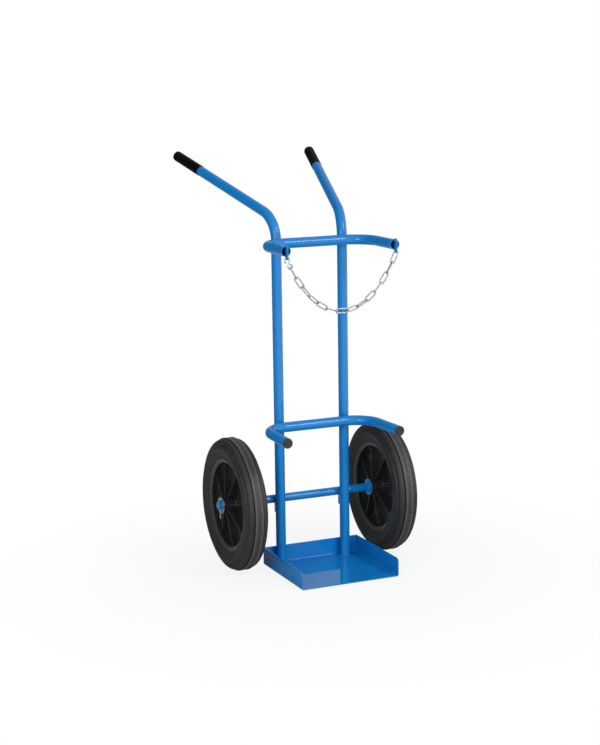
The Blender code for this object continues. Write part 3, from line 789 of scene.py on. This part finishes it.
def lugOutline(size):
    end, half, steps = size["end"], size["straight"], size["straightSteps"]
    down = [(-end, half - 2 * half * i / steps) for i in range(steps)]
    up = [(end, 2 * half * i / steps - half) for i in range(steps)]
    upper = arc((0, half), end, 0, pi, size["endSteps"])[:-1]
    lower = arc((0, -half), end, pi, 2 * pi, size["endSteps"])[:-1]
    return upper + down + lower + up


def lugHole(size):  # with as many points as the outline, for the bridge between them
    count = 2 * (size["endSteps"] + size["straightSteps"])
    return arc((0, -size["straight"]), size["hole"], 0, 2 * pi, count)[:-1]


def roundLink(size):  # swept round one end, along, round the other and back
    bend, reach, seam = size["bend"], size["reach"], size["seamHalf"]
    oneLink = startRing(size["facets"], size["wire"], (0, -bend, 0), (0, pi / 2, 0))
    pull((reach, 0, 0))
    sweep(pi, (reach, 0, 0), (0, 0, 1), size["endSteps"])
    pull((2 * seam - reach, 0, 0))
    swells = ((-seam, size["seam"]), (-2 * seam, 1), (-seam, 1 / size["seam"]))  # the seam stands proud
    for step, share in swells:
        pull((step, 0, 0))
        mesh = bmesh.from_edit_mesh(oneLink.data)
        ring = [oneLink.matrix_world @ vert.co for vert in mesh.verts if vert.select]
        swell(share, sum(ring, Vector()) / len(ring))
    pull((2 * seam - reach, 0, 0))
    sweep(pi, (-reach, 0, 0), (0, 0, 1), size["endSteps"])
    pull((reach, 0, 0))
    closeUp()
    setDown(oneLink)
    return oneLink


def openHook(size):  # from the tail over the top, down the shank and round the eye
    top, eye, steps = size["top"], size["eye"], size["eyeSteps"]
    touch = acos((top + eye) / size["span"])
    lip = 3 * pi / 2 + size["lip"]
    upper, lower = Vector((-size["span"] / 2, 0, 0)), Vector((size["span"] / 2, 0, 0))
    lipPoint = upper + top * Vector((cos(lip), sin(lip), 0))
    tail = lipPoint + size["tail"] * Vector((-sin(lip), cos(lip), 0))
    leave = upper + top * Vector((cos(touch), sin(touch), 0))
    meet = lower - eye * Vector((cos(touch), sin(touch), 0))
    hook = startRing(linkSet["facets"], linkSet["wire"], tail, aimed(lipPoint - tail))
    pull(lipPoint - tail)
    sweep(lip - touch, upper, (0, 0, -1), size["topSteps"])
    pull(meet - leave)
    sweep(size["eyeTurn"] / 2, lower, (0, 0, 1), steps)
    for _ in range(steps):  # the second half of the eye climbs beside the shank
        sweep(size["eyeTurn"] / 2 / steps, lower, (0, 0, 1), 1)
        bpy.ops.transform.translate(value=(0, 0, size["aside"] / steps))
    fillEnds()
    faceOut()
    breakEdges(*size["tailRound"])
    closeUp()
    setDown(hook)
    return hook


def axesAt(middle, along, across):
    return Matrix.Translation(middle) @ Matrix((along, across, along.cross(across))).transposed().to_4x4()


def linkFrame(node):  # where a link lies: its middle, its length, its width and its thickness
    spots = np.unique(np.round([tuple(vert.co) for vert in node.data.vertices], 6), axis=0)
    middle = spots.mean(axis=0)
    axes = np.linalg.svd(spots - middle, full_matrices=False)[2]
    along = Vector(axes[0]) * (1 if axes[0][0] > 0 else -1)
    return axesAt(Vector(middle), along, Vector(axes[1]))


def hookFrame(size, firstLink):  # between the hole of its lug and the end of the first link
    start = Vector(size["seat"])
    end = firstLink.translation - firstLink.col[0].to_3d() * linkSet["pitch"] / 2
    along = (end - start).normalized()
    return axesAt((start + end) / 2, along, along.cross(Vector((0, 1, 0))).normalized())


lugModel = plate(lugOutline(lugSet), lugSet["thick"], lugSet["edge"], lugHole(lugSet))
for name, sign in sides.items():
    place = Matrix.Translation((sign * lugSet["x"], lugSet["y"], lugSet["z"])) @ upOnEdge
    settle(copyOf(lugModel, place), name + "_lug_plate", "paint", "frame", [name + "_chain_lug"])
linkModel = roundLink(linkSet)
linkFrames = [linkFrame(cadNodes[f"chain_link_{i:02d}"]) for i in range(1, linkSet["count"] + 1)]
for i, place in enumerate(linkFrames, 1):
    oneLink = copyOf(linkModel, place)
    settle(oneLink, f"round_link_{i:02d}", "zinc", "chain", [f"chain_link_{i:02d}"], linkSet["smooth"])
scrap(lugModel, linkModel)
hook = openHook(hookSet)
hook.matrix_world = hookFrame(hookSet, linkFrames[0])
settle(hook, "open_hook", "zinc", "chain", ["chain_hook"], hookSet["smooth"])
print("chain hung")

# Welds, as rows of overlapping drops
beadSet = {"perDrop": 6, "around": 10, "lean": 0.35, "least": 0.86, "drop": 0.2, "uneven": (0.06, 3, 1),
           "tip": 0.5, "first": 1.9, "swell": 1.25, "waist": 0.8, "last": 0.55}
weldSet = {"foot": (0.0157, 0.0021, 30), "seat": (0.0088, 0.0019, 18), "collar": (0.0134, 0.0014, 26),
           "plate": (0.0018, 12), "lug": (0.0016, 3), "footLift": 0.0006, "sunk": 0.00015, "aside": 0.0002,
           "plateTop": 0.006, "plateFoot": 0.002, "lugIn": 0.001, "lugHalf": 0.003, "lugSunk": 0.0004,
           "smooth": 50}


def ringBead(major, minor, ripples, place, warp=(0, 0)):  # a weld laid in a ring
    size = beadSet
    letGo()
    bpy.ops.mesh.primitive_torus_add(major_radius=major, minor_radius=minor,
                                     major_segments=size["perDrop"] * ripples,
                                     minor_segments=size["around"])
    bead = bpy.context.object
    uneven, waves, phase = size["uneven"]
    bpy.ops.object.mode_set(mode="EDIT")
    mesh = bmesh.from_edit_mesh(bead.data)
    for vert in mesh.verts:
        turn = atan2(vert.co.y, vert.co.x)
        core = Vector((major * cos(turn), major * sin(turn), 0))
        drop = abs(sin(turn * ripples / 2 + size["lean"] * vert.co.z / minor))
        fat = size["least"] + size["drop"] * drop + uneven * sin(waves * turn + phase)
        vert.co = core + (vert.co - core) * fat
        vert.co.z += warp[0] * vert.co.x ** 2 - warp[1] * vert.co.y ** 2
    bmesh.update_edit_mesh(bead.data)
    bpy.ops.object.mode_set(mode="OBJECT")
    bead.matrix_world = place
    return bead


def runBead(start, end, radius, drops):  # a straight weld, ring by ring
    size = beadSet
    start, end = Vector(start), Vector(end)
    bead = startRing(size["around"], radius * size["tip"], start, aimed(end - start))
    step = (end - start) / (2 * drops)
    shares = [size["first"], size["waist"]] + [size["swell"], size["waist"]] * (drops - 1)
    for index, share in enumerate(shares[:-1] + [size["last"]], 1):
        pull(step)
        swell(share, start + step * index)
    fillEnds()
    closeUp()
    return bead


def layWelds(size):
    beads = []
    tube, axle = tubeSet["radius"], axleSet["radius"]
    upwards = Vector((0, 0, 1))
    overTube, overAxle = 0.25 / tube, 0.25 / axle  # a crossed bar parts from its seat as r * r / (4 * radius)
    for sign in sides.values():
        x, y = sign * uprightSet["x"], uprightSet["y"]
        place = Matrix.Translation((x, y, uprightSet["foot"] + size["footLift"]))
        beads.append(ringBead(*size["foot"], place))
        for cradle in cradleSet.values():
            corners = cradleCorners(cradle)
            bend = bendAt(*(corners[:3] if sign < 0 else corners[3:0:-1]), cradleBend)
            post = Vector((x, y, cradle["height"]))
            out = (post - bend["middle"]).normalized()
            turn = Matrix((upwards.cross(out), upwards, out)).transposed().to_4x4()
            place = Matrix.Translation(post - out * (tube + size["sunk"])) @ turn
            beads.append(ringBead(*size["seat"], place, (overTube, overTube)))
        seat = Matrix.Translation((x, y + tube + size["sunk"], axleLine.z))
        beads.append(ringBead(*size["seat"], seat @ Matrix.Rotation(pi / 2, 4, "X"), (overTube, overAxle)))
        collarEnd = axleLine + Vector((sign * (collarSet["x"] - collarSet["length"]), 0, 0))
        beads.append(ringBead(*size["collar"], pose(collarEnd, (1, 0, 0))))
        for face in (-1, 1):
            plateX = x + face * (saddleSet["thick"] / 2 + size["aside"])
            plateY = saddleSet["front"] + size["aside"]
            foot, top = axleLine.z - saddleSet["drop"] + size["plateFoot"], axleLine.z - size["plateTop"]
            beads.append(runBead((plateX, plateY, foot), (plateX, plateY, top), *size["plate"]))
            lugX = sign * lugSet["x"] + face * (lugSet["thick"] / 2 + size["aside"])
            lugY = lugSet["y"] + lugSet["end"] - size["lugSunk"]
            for end in (-1, 1):
                height = cradleSet["upper"]["height"] + end * (tube - size["lugIn"])
                foot, top = height - size["lugHalf"], height + size["lugHalf"]
                beads.append(runBead((lugX, lugY, foot), (lugX, lugY, top), *size["lug"]))
    return joinAll(beads)


settle(layWelds(weldSet), "weld_beads", "paint", "frame", smooth=weldSet["smooth"])
print("welds laid")

# Floor, light and camera
floorSet = {"size": 3.4, "squares": 8, "drop": 0.0002, "paper": 0.75, "mirrored": 0.36, "shadow": 0.14,
            "near": 0.40, "far": 1.1}
lampAim = (0, 0.1, 0.6)
lampSet = {  # the fills light the cart without a highlight of their own, the streak is a highlight alone
    "keyBox": {"at": (2.25, -4.0, 3.65), "size": (1.3, 1.4), "watts": 88, "shows": False, "lights": True},
    "streak": {"at": (2.18, -3.88, 3.56), "size": (1.4, 1.7), "watts": 44, "shows": True, "lights": False},
    "frontFill": {"at": (0.2, -4.6, 1.6), "size": (2.4, 2.4), "watts": 38, "shows": False, "lights": True},
    "leftBox": {"at": (-2.6, -2.3, 1.65), "size": (1.5, 1.5), "watts": 26, "shows": True, "lights": True},
    "backFill": {"at": (0.6, 3.6, 2.6), "size": (2.4, 1.6), "watts": 22, "shows": False, "lights": True},
}
worldSet = {"air": 0.58, "mirror": 1.25, "brightest": (0.60, -0.72, -0.34),
            "walls": [(0.08, 0.05), (0.25, 0.34), (0.40, 0.36), (0.63, 0.62), (0.755, 0.85)]}
cameraSet = {"at": (-2.0641, -4.4904, 1.5248), "turn": -23.7325, "tilt": 10.5543, "roll": -0.8307,
             "sensor": 36, "lens": 82.87}


def paperFloor(size):
    letGo()
    bpy.ops.mesh.primitive_grid_add(x_subdivisions=size["squares"], y_subdivisions=size["squares"],
                                    size=size["size"], location=(0, 0, -size["drop"]))
    floor = bpy.context.object
    floor.name = "paper_floor"
    setDown(floor)
    paper = bpy.data.materials.new("pale_paper")
    paper.use_nodes = True
    tree = paper.node_tree
    tree.nodes.remove(tree.nodes["Principled BSDF"])
    path = tree.nodes.new("ShaderNodeLightPath")
    matt = tree.nodes.new("ShaderNodeBsdfDiffuse")
    tone = rangeOn(tree, path.outputs["Is Glossy Ray"], size["paper"], size["mirrored"], 0, 1)
    link(tree, tone, matt.inputs["Color"])
    glow = tree.nodes.new("ShaderNodeEmission")
    reach = vectorOn(tree, "LENGTH", tree.nodes.new("ShaderNodeTexCoord").outputs["Object"])
    white = rangeOn(tree, reach, 1 - size["shadow"], 1, size["near"], size["far"])  # less shadow outwards
    share = mathOn(tree, "MULTIPLY", white, path.outputs["Is Camera Ray"])
    mix = mixShaders(tree, share, matt.outputs["BSDF"], glow.outputs["Emission"])
    link(tree, mix, tree.nodes["Material Output"].inputs["Surface"])
    floor.data.materials.append(paper)


def studioWorld(size):
    world = bpy.data.worlds.new("studio")
    bpy.context.scene.world = world
    world.use_nodes = True
    tree = world.node_tree
    tree.nodes.clear()
    air, mirror, white = [tree.nodes.new("ShaderNodeBackground") for _ in range(3)]
    for sky, strength in ((air, size["air"]), (mirror, size["mirror"]), (white, 1)):
        sky.inputs["Color"].default_value = (1, 1, 1, 1)
        sky.inputs["Strength"].default_value = strength
    where = tree.nodes.new("ShaderNodeTexCoord").outputs["Generated"]
    level = rangeOn(tree, vectorOn(tree, "DOT_PRODUCT", where, size["brightest"]), 0, 1, -1, 1)
    walls = rampOn(tree, level, [(place, (grey, grey, grey)) for place, grey in size["walls"]])
    link(tree, walls, mirror.inputs["Color"])  # the walls as the gloss shows them, white to the right
    path = tree.nodes.new("ShaderNodeLightPath")
    shiny = mathOn(tree, "MAXIMUM", path.outputs["Is Glossy Ray"], path.outputs["Is Transmission Ray"])
    unseen = mixShaders(tree, shiny, air.outputs["Background"], mirror.outputs["Background"])
    studio = mixShaders(tree, path.outputs["Is Camera Ray"], unseen, white.outputs["Background"])
    link(tree, studio, tree.nodes.new("ShaderNodeOutputWorld").inputs["Surface"])


def hangLamps(lamps, aim):
    for name, size in lamps.items():
        letGo()
        at = Vector(size["at"])
        turn = (Vector(aim) - at).to_track_quat("-Z", "Y").to_euler()
        bpy.ops.object.light_add(type="AREA", location=at, rotation=turn)
        lamp = bpy.context.object
        lamp.name = lamp.data.name = name
        lamp.data.shape = "RECTANGLE"
        lamp.data.size, lamp.data.size_y = size["size"]
        lamp.data.energy = size["watts"]
        lamp.visible_glossy = size["shows"]
        lamp.visible_diffuse = size["lights"]


def setCamera(size):
    turn, tilt, roll = [radians(size[key]) for key in ("turn", "tilt", "roll")]
    look = Vector((-sin(turn) * cos(tilt), cos(turn) * cos(tilt), -sin(tilt)))
    right = look.cross(Vector((0, 0, 1))).normalized()
    up = right.cross(look)
    rolledRight = right * cos(roll) + up * sin(roll)
    rolledUp = up * cos(roll) - right * sin(roll)
    letGo()
    bpy.ops.object.camera_add()
    camera = bpy.context.object
    camera.data.sensor_fit = "VERTICAL"
    camera.data.sensor_height = size["sensor"]
    camera.data.lens = size["lens"]
    facing = Matrix((rolledRight, rolledUp, -look)).transposed().to_4x4()
    camera.matrix_world = Matrix.Translation(size["at"]) @ facing
    bpy.context.scene.camera = camera


paperFloor(floorSet)
studioWorld(worldSet)
hangLamps(lampSet, lampAim)
setCamera(cameraSet)
bpy.context.scene.view_settings.view_transform = "Standard"
print("studio set")

letGo()
